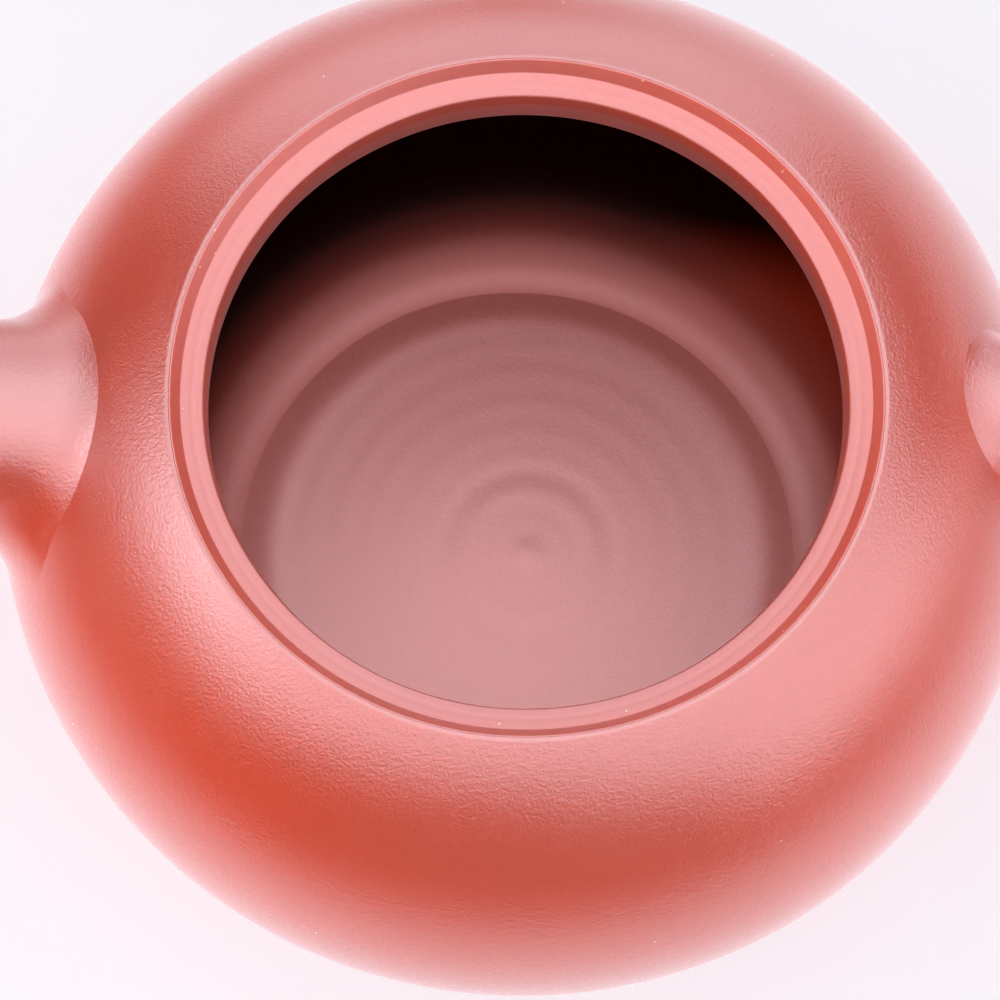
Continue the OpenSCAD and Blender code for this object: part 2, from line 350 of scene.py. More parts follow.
base = {
    "dish": 0.9,                # mm, how much lower the middle of the floor is than its edge
    "dishPower": 4,             # the higher, the flatter the middle and the steeper the edge
    "markOffset": (1.0, 0.2),   # mm, the rings on the floor aren't quite central
    "innerRing": 8.2,           # mm, radius of the clearest ring on the floor
    "innerRingWidth": 2.0,
    "innerRingDepth": 0.035,
    "ridgeInside": 2.3,         # mm from that ring to the ridge inside it
    "ridgeWidth": 1.9,
    "ridgeShare": 0.5,          # the ridge's height as a share of the ring's depth
    "ringPitch": 2.9,
    "ringDepth": 0.005,
    "ringStart": 0.8,
    "middleWidth": 3.0,         # mm, the low lump that is left in the middle
    "middleHeight": 0.1,
    "fadeStart": 3.0,           # mm from the floor's edge, where the marks begin to end
    "fadeEnd": 0.5,
    "rows": 90,
}


def floorMarks(p):
    x, y, z = p
    if z < pot["floorHeight"]:
        return p
    r = math.hypot(x, y)
    away = math.hypot(x - base["markOffset"][0], y - base["markOffset"][1])
    fade = 1 - smoothStep(baseRadius - base["fadeStart"], baseRadius - base["fadeEnd"], r)
    drop = bump(away, base["innerRing"], base["innerRingWidth"], -base["innerRingDepth"])
    drop += bump(away, base["innerRing"] - base["ridgeInside"], base["ridgeWidth"],
                 base["ridgeShare"] * base["innerRingDepth"])
    drop += base["ringDepth"] * math.sin(2 * math.pi * away / base["ringPitch"] + base["ringStart"])
    drop += bump(away, 0, base["middleWidth"], base["middleHeight"])
    edge = bump(r, baseRadius, wall["floorSeamWidth"], -wall["floorSeamDepth"])
    dish = base["dish"] * ((r / baseRadius) ** base["dishPower"] - 1)
    return (x, y, z + drop * fade + edge + dish)


floorRadii = [baseRadius * i / base["rows"] for i in range(base["rows"] + 1)]
floorOutline = ([(r, pot["footHeight"]) for r in (0.0, baseRadius / 2, baseRadius)]
                + [(r, pot["floorHeight"]) for r in reversed(floorRadii)])
baseDisc = turned("baseDisc", floorOutline, pot["segments"], floorMarks, sharpAt=(2, 3))
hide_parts("base_disc")
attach(baseDisc, "pot")

foot = {
    "inset": 0.4,
    "width": 2.8,
    "edge": 0.45,   # mm, rounding of the edges that touch the table
    "pointSpacing": 0.6,
}
footOuter = outer[0][0] - foot["inset"]
footInner = footOuter - foot["width"]
footCorners = [(footInner, pot["footHeight"], 0), (footInner, 0, foot["edge"]),
               (footOuter, 0, foot["edge"]), (footOuter, pot["footHeight"], 0)]
footRing = turned("footRing", refine(roundCorners(footCorners), foot["pointSpacing"]), pot["segments"])
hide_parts("foot_ring")
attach(footRing, "pot")
print("base and foot made")


def curveAt(p, t):
    return ((1 - t) ** 3 * p[0] + 3 * t * (1 - t) ** 2 * p[1]
            + 3 * t ** 2 * (1 - t) * p[2] + t ** 3 * p[3])


def curveDirection(p, t):
    return (3 * (1 - t) ** 2 * (p[1] - p[0]) + 6 * t * (1 - t) * (p[2] - p[1])
            + 3 * t ** 2 * (p[3] - p[2])).normalized()


# Point of a swept bar's skin. "halves" gives its half thickness and half width there.
def skinSpot(path, halves, t, turn):
    middle = curveAt(path, t)
    along = curveDirection(path, t)
    across = Vector((-along.z, 0, along.x))
    thick, wide = halves(t)
    return middle + across * thick * math.cos(turn) + Vector((0, 1, 0)) * wide * math.sin(turn)


# One row of points round a bar. "places" says for each point how far along the path it lies.
def barRow(path, halves, places):
    return [skinSpot(path, halves, place, 2 * math.pi * i / len(places)) for i, place in enumerate(places)]


# Where a line of the skin reaches a distance outside the body, between two places on it.
def crossing(path, halves, turn, search, distance, halvings=40):
    low, high = search
    for _ in range(halvings):
        middle = (low + high) / 2
        if onBody(skinSpot(path, halves, middle, turn))[2] < distance:
            low = middle
        else:
            high = middle
    return high


# Rows of points for the fillet that blends a bar into the body, from the body outwards.
# "shape" gives, for a turn, its radius and the angle of the crease at its outer edge.
def filletRows(path, halves, sides, search, shape, steps):
    rows = []
    reached = []
    for k in range(steps + 1):
        row = []
        for i in range(sides):
            turn = 2 * math.pi * i / sides
            size, crease = shape(turn)
            lean = lerp(crease, math.pi / 2, k / steps)
            distance = size * (math.cos(crease) - math.cos(lean))
            spread = size * (1 - math.sin(lean))
            t = crossing(path, halves, turn, search, distance)
            spot = skinSpot(path, halves, t, turn)
            around, along, _ = onBody(spot)
            normal = bodyNormal(around, along)
            away = spot - curveAt(path, t)
            away -= normal * away.dot(normal)
            moved = spot + away.normalized() * spread
            around, along, _ = onBody(moved)
            row.append(bodySpot(around, along, distance))
            if k == steps:
                reached.append(t)
        rows.append(row)
    return rows, reached


def sunkRow(row, depth):
    out = []
    for p in row:
        around, along, _ = onBody(p)
        out.append(bodySpot(around, along, -depth))
    return out


def bodyRadiusAt(z):
    return curveCentre + math.sqrt(pot["curveRadius"] ** 2 - (z - bellyHeight) ** 2)


spout = {
    "reach": 70.0,
    "lipHeight": 52.0,
    "rootHeight": 39.3,
    "rootRadius": 11.2,
    "lipRadius": 5.4,
    "wall": 1.7,
    "rootSlope": 26.0,
    "lipSlope": 44.0,
    "startDepth": 8.0,
    "taper": 1.2,
    "sides": 96,
    "rows": 56,
    "lipRounding": 0.75,
    "lipSetBack": 0.9,           # how far the lip's rounding starts behind the path's end, as a share of it
    "lipSteps": 12,
    "filletAbove": 3.0,          # mm, radius of the luted joint on the top side
    "filletBelow": 5.0,          # mm, the same on the underside
    "filletSteps": 12,
    "creaseAbove": 30.0,         # degrees, how sharply the joint's edge stands on the body
    "creaseEnds": (0.2, 0.24),   # how far down its two sides it stays sharp, from 0 on top to 1 below
    "creaseFade": 0.28,
    "offLine": -1.7,             # degrees, how far the hand-set spout stands off the pot's middle line
    "rootSearch": (0.02, 0.6),   # the part of the path within which it leaves the body
    "sink": 0.35,                # mm that the joint's edge lies inside the wall
    "channelSink": 0.3,
}
rootX = bodyRadiusAt(spout["rootHeight"])
rootAngle = math.radians(spout["rootSlope"])
lipAngle = math.radians(spout["lipSlope"])
startHeight = spout["rootHeight"] - spout["startDepth"] * math.tan(rootAngle)
spoutStart = Vector((-(rootX - spout["startDepth"]), 0, startHeight))
spoutEnd = Vector((-spout["reach"], 0, spout["lipHeight"]))
spoutArm = (spoutEnd - spoutStart).length / 3
spoutPath = [spoutStart,
             spoutStart + spoutArm * Vector((-math.cos(rootAngle), 0, math.sin(rootAngle))),
             spoutEnd - spoutArm * Vector((-math.cos(lipAngle), 0, math.sin(lipAngle))),
             spoutEnd]


def spoutRadius(t):
    narrowing = (1 - min(1, t)) ** spout["taper"]
    return spout["lipRadius"] + (spout["rootRadius"] - spout["lipRadius"]) * narrowing


def spoutOuter(t):
    return spoutRadius(t), spoutRadius(t)


def spoutInner(t):
    return spoutRadius(t) - spout["wall"], spoutRadius(t) - spout["wall"]


# Turn 0 is the side towards the table, because the spout runs towards -X.
def spoutFillet(turn):
    low = 0.5 + 0.5 * math.cos(turn)
    size = lerp(spout["filletAbove"], spout["filletBelow"], low)
    end = spout["creaseEnds"][0 if math.sin(turn) > 0 else 1]
    return size, math.radians(spout["creaseAbove"]) * (1 - smoothStep(end, end + spout["creaseFade"], low))


def setOnBody(offLine):
    return lambda p: handMade(turnedBy(p, offLine))


rootRows, reached = filletRows(spoutPath, spoutOuter, spout["sides"], spout["rootSearch"],
                               spoutFillet, spout["filletSteps"])
spoutRows = [sunkRow(rootRows[0], spout["sink"])] + rootRows
for k in range(1, spout["rows"]):
    places = [lerp(start, 1, k / spout["rows"]) for start in reached]
    spoutRows.append(barRow(spoutPath, spoutOuter, places))
halfWall = spout["wall"] / 2
for k in range(1, spout["lipSteps"]):   # the lip's rounded edge
    lean = math.radians(180 * k / spout["lipSteps"])
    radius = spout["lipRadius"] - halfWall + halfWall * math.cos(lean)
    ahead = curveDirection(spoutPath, 1) * (spout["lipRounding"] * (math.sin(lean) - spout["lipSetBack"]))
    row = barRow(spoutPath, lambda t: (radius, radius), [1] * spout["sides"])
    spoutRows.append([spot + ahead for spot in row])
channelReached = [crossing(spoutPath, spoutInner, 2 * math.pi * i / spout["sides"], spout["rootSearch"],
                           -spout["channelSink"]) for i in range(spout["sides"])]
for k in range(spout["rows"] - 2, -1, -1):   # the channel, from behind the lip back to the root
    places = [lerp(start, 1, k / spout["rows"]) for start in channelReached]
    spoutRows.append(barRow(spoutPath, spoutInner, places))
spoutPiece = tube("pouringSpout", spoutRows, setOnBody(spout["offLine"]), looped=True, sharpRows=(1,))
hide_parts("spout")
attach(spoutPiece, "pot")
print("spout made")

handle = {
    "reach": 72.0,
    "topHeight": 41.0,
    "lowHeight": 15.0,
    "rise": 12.0,
    "width": 9.0,
    "thickness": 8.0,
    "flare": 2.4,
    "flareEnd": 0.16,               # share of the path within which the bar flares out to its root
    "startDepth": 8.0,
    "sides": 72,
    "rows": 120,
    "fillet": 2.4,
    "filletSteps": 8,
    "crease": 25.0,
    "offLine": 1.9,                 # degrees, how far the hand-set handle stands off the pot's middle line
    "topSearch": (0.02, 0.45),      # the parts of the path within which its ends enter the body
    "lowSearch": (0.98, 0.55),
    "sink": 0.35,
}
handleTopX = bodyRadiusAt(handle["topHeight"]) - handle["startDepth"]
handleLowX = bodyRadiusAt(handle["lowHeight"]) - handle["startDepth"]
# A curve's middle takes 1/8 of each end and 3/8 of each arm, so this puts its middle at the reach.
handleArmX = (8 * (handle["reach"] - handle["thickness"] / 2) - handleTopX - handleLowX) / 6
handleStartHeight = handle["topHeight"] - handle["startDepth"] * handle["rise"] / handleArmX
handlePath = [Vector((handleTopX, 0, handleStartHeight)),
              Vector((handleArmX, 0, handle["topHeight"] + handle["rise"])),
              Vector((handleArmX, 0, handle["lowHeight"] + handle["rise"] / 3)),
              Vector((handleLowX, 0, handle["lowHeight"]))]


def handleHalves(t):
    grow = handle["flare"] * max(0, 1 - min(t, 1 - t) / handle["flareEnd"]) ** 2
    return handle["thickness"] / 2 + grow, handle["width"] / 2 + grow


def handleFillet(turn):
    return handle["fillet"], math.radians(handle["crease"])


topRows, topReached = filletRows(handlePath, handleHalves, handle["sides"], handle["topSearch"],
                                 handleFillet, handle["filletSteps"])
lowRows, lowReached = filletRows(handlePath, handleHalves, handle["sides"], handle["lowSearch"],
                                 handleFillet, handle["filletSteps"])
handleRows = [sunkRow(topRows[0], handle["sink"])] + topRows
for k in range(1, handle["rows"]):
    places = [lerp(top, low, k / handle["rows"]) for top, low in zip(topReached, lowReached)]
    handleRows.append(barRow(handlePath, handleHalves, places))
handleRows += list(reversed(lowRows)) + [sunkRow(lowRows[0], handle["sink"])]
handlePiece = tube("loopHandle", handleRows, setOnBody(handle["offLine"]), looped=False,
                   sharpRows=(1, len(handleRows) - 2))
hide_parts("handle")
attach(handlePiece, "pot")
print("handle made")

lidJoint = next(joint for joint in frame["joints"] if joint["name"] == "lid_turn")
lidPivot = Vector(lidJoint["pos_m"])
lidTurn = math.radians(lidJoint["range_deg"][1])
seatedToRest = (Matrix.Translation(lidPivot) @ Matrix.Rotation(-lidTurn, 4, "X")
                @ Matrix.Translation(-lidPivot))
lid = {
    "edgeGap": 0.3,
    "edgeHeight": 1.4,
    "domeRise": 6.0,
    "domeRows": 70,
    "thickness": 2.6,
    "underRows": 60,
    "scrapePitch": 3.3,      # mm between the rings that the scraper left on its underside
    "scrapeDepth": 0.04,
    "collarGap": 0.5,
    "collarThickness": 2.2,
    "collarDepth": 5.0,
    "collarRounding": 0.7,
    "edgeRounding": 0.35,
    "lowEdgeRounding": 0.25,
    "airHole": 1.0,
    "segments": 240,
    "pointSpacing": 0.5,
}
lidRadius = ledgeRadius - lid["edgeGap"]
domeRadius = (lidRadius ** 2 + lid["domeRise"] ** 2) / (2 * lid["domeRise"])
domeTop = lid["edgeHeight"] + lid["domeRise"]
domeMiddle = domeTop - domeRadius
collarRadius = neckRadius - lid["collarGap"]
collarInside = collarRadius - lid["collarThickness"]


def domeHeight(curve, r):
    return domeMiddle + math.sqrt(curve ** 2 - r ** 2)


# Puts a lid piece, made with its underside at z = 0, on its seat and then where it lies.
def layDown(piece):
    seat = Matrix.Translation((0, 0, lidPivot.z))
    piece.data.transform(seatedToRest @ seat)


domeRadii = [lerp(lid["airHole"], lidRadius, i / lid["domeRows"]) for i in range(lid["domeRows"] + 1)]
domeSkin = [(r, domeHeight(domeRadius, r)) for r in domeRadii]
underRadii = [lerp(collarInside, lid["airHole"], i / lid["underRows"]) for i in range(lid["underRows"] + 1)]
underSkin = [(r, domeHeight(domeRadius - lid["thickness"], r)
              + lid["scrapeDepth"] * math.sin(2 * math.pi * r / lid["scrapePitch"])) for r in underRadii]
edgeCorners = [domeSkin[-3] + (0,), domeSkin[-1] + (lid["edgeRounding"],),
               (lidRadius, 0, lid["lowEdgeRounding"]), (collarInside, 0, 0)]
edge = refine(roundCorners(edgeCorners, closed=False), lid["pointSpacing"], closed=False)[1:]
lidOutline = domeSkin[:-2] + edge + underSkin
lidDome = turned("lidDome", lidOutline, lid["segments"], sharpAt=(0, len(lidOutline) - 1))
layDown(lidDome)
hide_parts("lid_plate")
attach(lidDome, "lid")

collarCorners = [(collarInside, 0, 0), (collarInside, -lid["collarDepth"], lid["collarRounding"]),
                 (collarRadius, -lid["collarDepth"], lid["collarRounding"]), (collarRadius, 0, 0)]
lidCollar = turned("lidCollar", refine(roundCorners(collarCorners), lid["pointSpacing"]), lid["segments"])
layDown(lidCollar)
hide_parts("lid_collar")
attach(lidCollar, "lid")

knob = {
    "radius": 6.3,
    "height": 10.5,
    "rounding": 4.8,
    "ballRows": 48,
    "neckRadius": 3.4,
    "ballEnd": 0.9,          # mm outside the neck at which the ball's arc stops
    "ballToNeck": 0.7,       # mm of height between that and the neck
    "neckRounding": 0.9,
    "seat": 1.0,             # mm outside the neck at which its foot meets the dome
    "footWidth": 1.1,
    "footRise": 0.55,
    "footSink": 0.05,
    "neckOverlap": 0.6,      # mm that the knob reaches down into the dome, at the neck and at the hole
    "holeOverlap": 0.3,
    "holeRim": ((0.0, 0.35), (0.12, 0.1), (0.35, 0.0)),   # mm out from the hole and down from the top
    "segments": 144,
    "pointSpacing": 0.3,
}
knobMiddle = (knob["radius"] - knob["rounding"], domeTop + knob["height"] - knob["rounding"])
ballEnd = (knob["neckRadius"] + knob["ballEnd"] - knobMiddle[0]) / knob["rounding"]
knobBall = arc(knobMiddle, knob["rounding"], 90, -math.degrees(math.acos(ballEnd)), knob["ballRows"])
knobFoot = domeHeight(domeRadius, knob["neckRadius"] + knob["seat"])
knobCorners = [knobBall[-1] + (0,),
               (knob["neckRadius"], knobBall[-1][1] - knob["ballToNeck"], knob["neckRounding"]),
               (knob["neckRadius"], knobFoot + knob["footRise"], knob["neckRounding"]),
               (knob["neckRadius"] + knob["footWidth"], knobFoot - knob["footSink"], 0)]
knobNeck = refine(roundCorners(knobCorners, closed=False), knob["pointSpacing"], closed=False)[1:]
holeRim = [(lid["airHole"] + out, knobBall[0][1] - down) for out, down in knob["holeRim"]]
knobOutline = ([(lid["airHole"], domeTop - knob["holeOverlap"])] + holeRim + knobBall[1:] + knobNeck
               + [(knob["neckRadius"], knobFoot - knob["neckOverlap"])])
knobPiece = turned("ballKnob", knobOutline, knob["segments"])
layDown(knobPiece)
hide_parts("knob")
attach(knobPiece, "lid")
print("lid made")


def colour(text):
    parts = [int(text[i:i + 2], 16) / 255 for i in (1, 3, 5)]
    return [p / 12.92 if p <= 0.04045 else ((p + 0.055) / 1.055) ** 2.4 for p in parts] + [1.0]


# A pattern's scale for Blender's textures, from a real size in millimetres.
def perSize(size):
    return 1 / (size * mm)


# Adds one node: settings go to its inputs or its own properties, links come from other nodes.
def addNode(tree, kind, settings=(), links=()):
    node = tree.nodes.new(kind)
    for key, value in dict(settings).items():
        if isinstance(key, int) or key in node.inputs:
            node.inputs[key].default_value = value
        else:
            setattr(node, key, value)
    for key, source in dict(links).items():
        tree.links.new(source, node.inputs[key])
    return node


# Clouds of a slightly lighter and a slightly deeper firing colour.
def firedTone(tree, look, place, fine):
    cloud = addNode(tree, "ShaderNodeTexNoise",
                    {"Scale": perSize(look["cloudSize"]), "Detail": 3.0, "Roughness": 0.6},
                    {"Vector": place})
    blend = addNode(tree, "ShaderNodeMath", {"operation": "MULTIPLY_ADD", 1: 0.5},
                    {0: cloud.outputs["Fac"], 2: fine.outputs["Fac"]})
    share = addNode(tree, "ShaderNodeMapRange",
                    {"From Min": look["deepUpTo"], "From Max": look["lightFrom"]},
                    {"Value": blend.outputs[0]})
    tone = addNode(tree, "ShaderNodeMix",
                   {"data_type": "RGBA", 6: colour(look["deep"]), 7: colour(look["light"])},
                   {0: share.outputs[0]})
    return tone.outputs[2]


# Painted shade that deepens upwards from a height above the table, and starts higher on the handle's side,
# which the light reaches.
def paintedShadeUpwards(tree, look, place, toned):
    axes = addNode(tree, "ShaderNodeSeparateXYZ", {}, {0: place})
    lift = addNode(tree, "ShaderNodeMapRange",
                   {"interpolation_type": "SMOOTHSTEP", "From Min": look["liftFrom"] * mm,
                    "From Max": look["liftTo"] * mm, "To Max": look["handleSideLift"] * mm},
                   {"Value": axes.outputs[0]})
    height = addNode(tree, "ShaderNodeMath", {"operation": "SUBTRACT"},
                     {0: axes.outputs[2], 1: lift.outputs[0]})
    rise = addNode(tree, "ShaderNodeMapRange",
                   {"interpolation_type": "SMOOTHSTEP", "From Min": look["paintedShadeLow"] * mm,
                    "From Max": look["paintedShadeHigh"] * mm},
                   {"Value": height.outputs[0]})
    shadedTone = addNode(tree, "ShaderNodeMix", {"data_type": "RGBA", 7: colour(look["paintedShade"])},
                      {0: rise.outputs[0], 6: toned})
    return shadedTone.outputs[2]


# The scraper closed the clay's skin in rings: (distance from the axis in mm, how closed it is).
def closedRings(tree, look, place):
    flat = addNode(tree, "ShaderNodeVectorMath", {"operation": "MULTIPLY", 1: (1.0, 1.0, 0.0)}, {0: place})
    outward = addNode(tree, "ShaderNodeVectorMath", {"operation": "LENGTH"}, {0: flat.outputs[0]})
    share = addNode(tree, "ShaderNodeMath", {"operation": "DIVIDE", 1: look["ringScale"] * mm},
                    {0: outward.outputs["Value"]})
    closed = addNode(tree, "ShaderNodeValToRGB", {}, {0: share.outputs[0]})
    closed.color_ramp.interpolation = "EASE"
    stops = closed.color_ramp.elements
    for k, (distance, weight) in enumerate(look["rings"]):
        at = distance / look["ringScale"]
        stop = stops[k] if k < 2 else stops.new(at)
        stop.position = at
        stop.color = (weight, weight, weight, 1.0)
    return closed.outputs[0]


# Sand grains: one cell in many is shown, as a pale or a dark speck.
def sanded(tree, look, place, toned):
    cells = addNode(tree, "ShaderNodeTexVoronoi",
                    {"Scale": perSize(look["speckSpacing"]), "Randomness": 1.0}, {"Vector": place})
    near = addNode(tree, "ShaderNodeMath", {"operation": "LESS_THAN", 1: look["speckSize"]},
                   {0: cells.outputs["Distance"]})
    pick = addNode(tree, "ShaderNodeSeparateColor", {}, {0: cells.outputs["Color"]})
    pale = addNode(tree, "ShaderNodeMath", {"operation": "GREATER_THAN", 1: 1 - look["paleShare"]},
                   {0: pick.outputs[0]})
    dark = addNode(tree, "ShaderNodeMath", {"operation": "LESS_THAN", 1: look["darkShare"]},
                   {0: pick.outputs[0]})
    for chosen, speck in ((pale, "paleSpeck"), (dark, "darkSpeck")):
        inSpeck = addNode(tree, "ShaderNodeMath", {"operation": "MULTIPLY"},
                          {0: near.outputs[0], 1: chosen.outputs[0]})
        toned = addNode(tree, "ShaderNodeMix", {"data_type": "RGBA", 7: colour(look[speck])},
                        {0: inSpeck.outputs[0], 6: toned}).outputs[2]
    return toned


# Red stoneware: fine iron clay, fired without glaze. "look" holds the finish of one kind of face.
def redStoneware(name, look):
    material = bpy.data.materials.new(name)
    material.use_nodes = True
    tree = material.node_tree
    tree.nodes.clear()
    place = addNode(tree, "ShaderNodeTexCoord").outputs["Object"]
    fleck = addNode(tree, "ShaderNodeTexNoise",
                    {"Scale": perSize(look["grain"]), "Detail": 2.0, "Roughness": 0.7}, {"Vector": place})
    fine = addNode(tree, "ShaderNodeTexNoise",
                   {"Scale": perSize(look["skinSize"]), "Detail": 3.0, "Roughness": 0.6}, {"Vector": place})
    toned = firedTone(tree, look, place, fine)
    # Painted shade, darker upwards, for the inside wall.
    if "paintedShade" in look:
        toned = paintedShadeUpwards(tree, look, place, toned)
    toned = sanded(tree, look, place, toned)
    gloss = addNode(tree, "ShaderNodeMapRange",
                    {"From Min": look["fleckLow"], "From Max": look["fleckHigh"],
                     "To Min": look["roughness"] - look["smoother"],
                     "To Max": look["roughness"] + look["rougher"]},
                    {"Value": fleck.outputs["Fac"]})
    peel = addNode(tree, "ShaderNodeBump",
                   {"Strength": look["peelStrength"], "Distance": look["peelDepth"] * mm},
                   {"Height": fine.outputs["Fac"]})
    grain = addNode(tree, "ShaderNodeBump",
                    {"Strength": look["grainStrength"], "Distance": look["grainDepth"] * mm},
                    {"Height": fleck.outputs["Fac"], "Normal": peel.outputs[0]})
    clay = addNode(tree, "ShaderNodeBsdfPrincipled",
                   {"IOR": look["ior"], "Specular IOR Level": look["specular"],
                    "Coat Weight": look["burnish"], "Coat Roughness": look["burnishRoughness"],
                    "Coat IOR": look["burnishIor"]},
                   {"Base Color": toned, "Roughness": gloss.outputs[0],
                    "Normal": grain.outputs[0], "Coat Normal": grain.outputs[0]})
    if "rings" in look:
        closed = closedRings(tree, look, place)
        shine = addNode(tree, "ShaderNodeMath", {"operation": "MULTIPLY", 1: look["specular"]}, {0: closed})
        tree.links.new(closed, clay.inputs["Coat Weight"])
        tree.links.new(shine.outputs[0], clay.inputs["Specular IOR Level"])
    addNode(tree, "ShaderNodeOutputMaterial", {}, {"Surface": clay.outputs[0]})
    return material


# Sizes and depths in millimetres. "burnish" is a coat that stands for the skin closed by rubbing; its IOR is
# above that of clay, because such a skin shines more than the clay under it.
clayLook = {
    "deep": "#c63c1b", "light": "#cc4220", "cloudSize": 14.0, "deepUpTo": 0.45, "lightFrom": 1.05,
    "grain": 0.3, "grainStrength": 0.6, "grainDepth": 0.08,
    "skinSize": 0.7, "peelStrength": 0.2, "peelDepth": 0.1,
    "speckSpacing": 1.3, "speckSize": 0.08, "paleShare": 0.012, "darkShare": 0.008,
    "paleSpeck": "#e8b9a0", "darkSpeck": "#7a2414",
    "roughness": 0.4, "smoother": 0.05, "rougher": 0.07, "fleckLow": 0.3, "fleckHigh": 0.7,
    "ior": 1.45, "specular": 0.5, "burnish": 1.0, "burnishRoughness": 0.27, "burnishIor": 1.8,
}
# Burnished with a horn rib while leather hard: satin, with a fine orange-peel grain.
burnished = redStoneware("redStonewareBurnished", clayLook)
# Trimmed with a metal tool and left: duller, paler and a little rougher, with more sand laid bare.
trimmed = redStoneware("redStonewareTrimmed", {
    **clayLook, "deep": "#c8422a", "light": "#cf4a2e", "roughness": 0.45, "burnishRoughness": 0.45,
    "paleShare": 0.1, "grainStrength": 0.2, "peelStrength": 0.08,
})
# Scraped inside with a bamboo rib: matt towards the wall, with a soft sheen left on the floor.
# Its clay colours are lighter than the outer clay's: painted light that brightens the inside.
scrapedLook = {
    **clayLook, "deep": "#e84e30", "light": "#ee5435", "ior": 1.6, "roughness": 0.5, "burnishRoughness": 0.4,
    "paleShare": 0.0, "grainStrength": 0.2, "peelStrength": 0.1, "ringScale": 50.0,
    "rings": ((0.0, 1.0), (22.0, 1.0), (24.4, 0.45), (25.8, 0.4), (27.2, 0.62), (29.2, 0.32), (32.0, 0.05),
              (37.0, 0.0)),
}
scraped = redStoneware("redStonewareScraped", scrapedLook)
# The same, with painted shade that darkens it towards the shoulder.
scrapedWall = redStoneware("redStonewareScrapedWall", {
    **scrapedLook, "paintedShade": "#2e0804", "paintedShadeLow": 3.7, "paintedShadeHigh": 8.8,
    "handleSideLift": 8.0, "liftFrom": 10.0, "liftTo": 40.0,
})
finish = {
    "bodyWall": burnished, "pouringSpout": burnished, "loopHandle": burnished,
    "lidDome": burnished, "ballKnob": burnished,
    "mouthRing": trimmed, "footRing": trimmed, "lidCollar": trimmed, "baseDisc": scraped,
}
for pieceName, material in finish.items():
    bpy.data.objects[pieceName].data.materials.append(material)
bodyWall.data.materials.append(scrapedWall)
mouthRing.data.materials.append(burnished)   # the ring's land is part of the shoulder
for face in mouthRing.data.polygons:
    if face.index // pot["segments"] < len(land) - 1:
        face.material_index = 1
innerRows = range(len(outer), len(wallOutline) - 1)
for face in bodyWall.data.polygons:
    if face.index // pot["segments"] in innerRows:
        face.material_index = 1
strainer = frame["nodes"]["strainer"]
strainer.data.materials.clear()
strainer.data.materials.append(scraped)
print("materials made")

# Strengths are radiances, and 1 is the white of the background. The floor is pale to the camera, dark to
# the clay's diffuse light, and in the clay's gloss it glows beside the foot and again towards the back.
studio = {
    "floorSize": 8.0,             # metres, like every place in the studio
    "floorColour": "#dae6f2",
    "paperGlow": 0.6,
    "boardColour": "#4c4442",     # what the clay's diffuse light gets back from the floor
    "glowMiddle": (0.03, -0.005, 0.0),
    "glowStart": 0.085,
    "glowEnd": 0.24,
    "glowNear": 1.4,              # what the gloss sees of the floor beside the foot
    "glowFar": 0.05,
    "backWay": (0.7, 1.0, 0.0),
    "backStart": 0.02,
    "backEnd": 0.3,
    "glowBack": 1.3,
    "worldColour": "#f4f6ff",
    "ambient": 0.08,
    "gloomInGloss": 0.0,
    "glossTint": "#f0f3ff",
    "fillTint": "#fff3e8",
}
worldColour = colour(studio["worldColour"])
floorMesh = bpy.data.meshes.new("floor")
half = studio["floorSize"] / 2
floorCorners = [(-half, -half, 0), (half, -half, 0), (half, half, 0), (-half, half, 0)]
floorMesh.from_pydata(floorCorners, [], [(0, 1, 2, 3)])
floor = bpy.data.objects.new("floor", floorMesh)
bpy.context.scene.collection.objects.link(floor)
floorMaterial = bpy.data.materials.new("paleBoard")
floorMaterial.use_nodes = True
board = floorMaterial.node_tree
board.nodes.clear()
paper = addNode(board, "ShaderNodeBsdfDiffuse", {"Color": colour(studio["floorColour"]), "Roughness": 0.0})
wood = addNode(board, "ShaderNodeBsdfDiffuse", {"Color": colour(studio["boardColour"]), "Roughness": 0.0})
place = addNode(board, "ShaderNodeNewGeometry").outputs["Position"]
away = addNode(board, "ShaderNodeVectorMath", {"operation": "DISTANCE", 1: studio["glowMiddle"]}, {0: place})
nearGlow = addNode(board, "ShaderNodeMapRange",
                   {"interpolation_type": "SMOOTHSTEP", "From Min": studio["glowStart"],
                    "From Max": studio["glowEnd"], "To Min": studio["glowNear"],
                    "To Max": studio["glowFar"]},
                   {"Value": away.outputs["Value"]})
backward = addNode(board, "ShaderNodeVectorMath", {"operation": "DOT_PRODUCT", 1: studio["backWay"]},
                   {0: place})
backGlow = addNode(board, "ShaderNodeMapRange",
                   {"interpolation_type": "SMOOTHSTEP", "From Min": studio["backStart"],
                    "From Max": studio["backEnd"], "To Min": 0.0, "To Max": studio["glowBack"]},
                   {"Value": backward.outputs["Value"]})
glow = addNode(board, "ShaderNodeMath", {"operation": "MAXIMUM"},
               {0: nearGlow.outputs[0], 1: backGlow.outputs[0]})
shine = addNode(board, "ShaderNodeEmission", {"Color": worldColour}, {"Strength": glow.outputs[0]})
rays = addNode(board, "ShaderNodeLightPath")
unseen = addNode(board, "ShaderNodeMixShader", {},
                 {0: rays.outputs["Is Glossy Ray"], 1: wood.outputs[0], 2: shine.outputs[0]})
lifted = addNode(board, "ShaderNodeEmission", {"Color": worldColour, "Strength": studio["paperGlow"]})
bright = addNode(board, "ShaderNodeAddShader", {}, {0: paper.outputs[0], 1: lifted.outputs[0]})
shown = addNode(board, "ShaderNodeMixShader", {},
                {0: rays.outputs["Is Camera Ray"], 1: unseen.outputs[0], 2: bright.outputs[0]})
addNode(board, "ShaderNodeOutputMaterial", {}, {"Surface": shown.outputs[0]})
floorMesh.materials.append(floorMaterial)

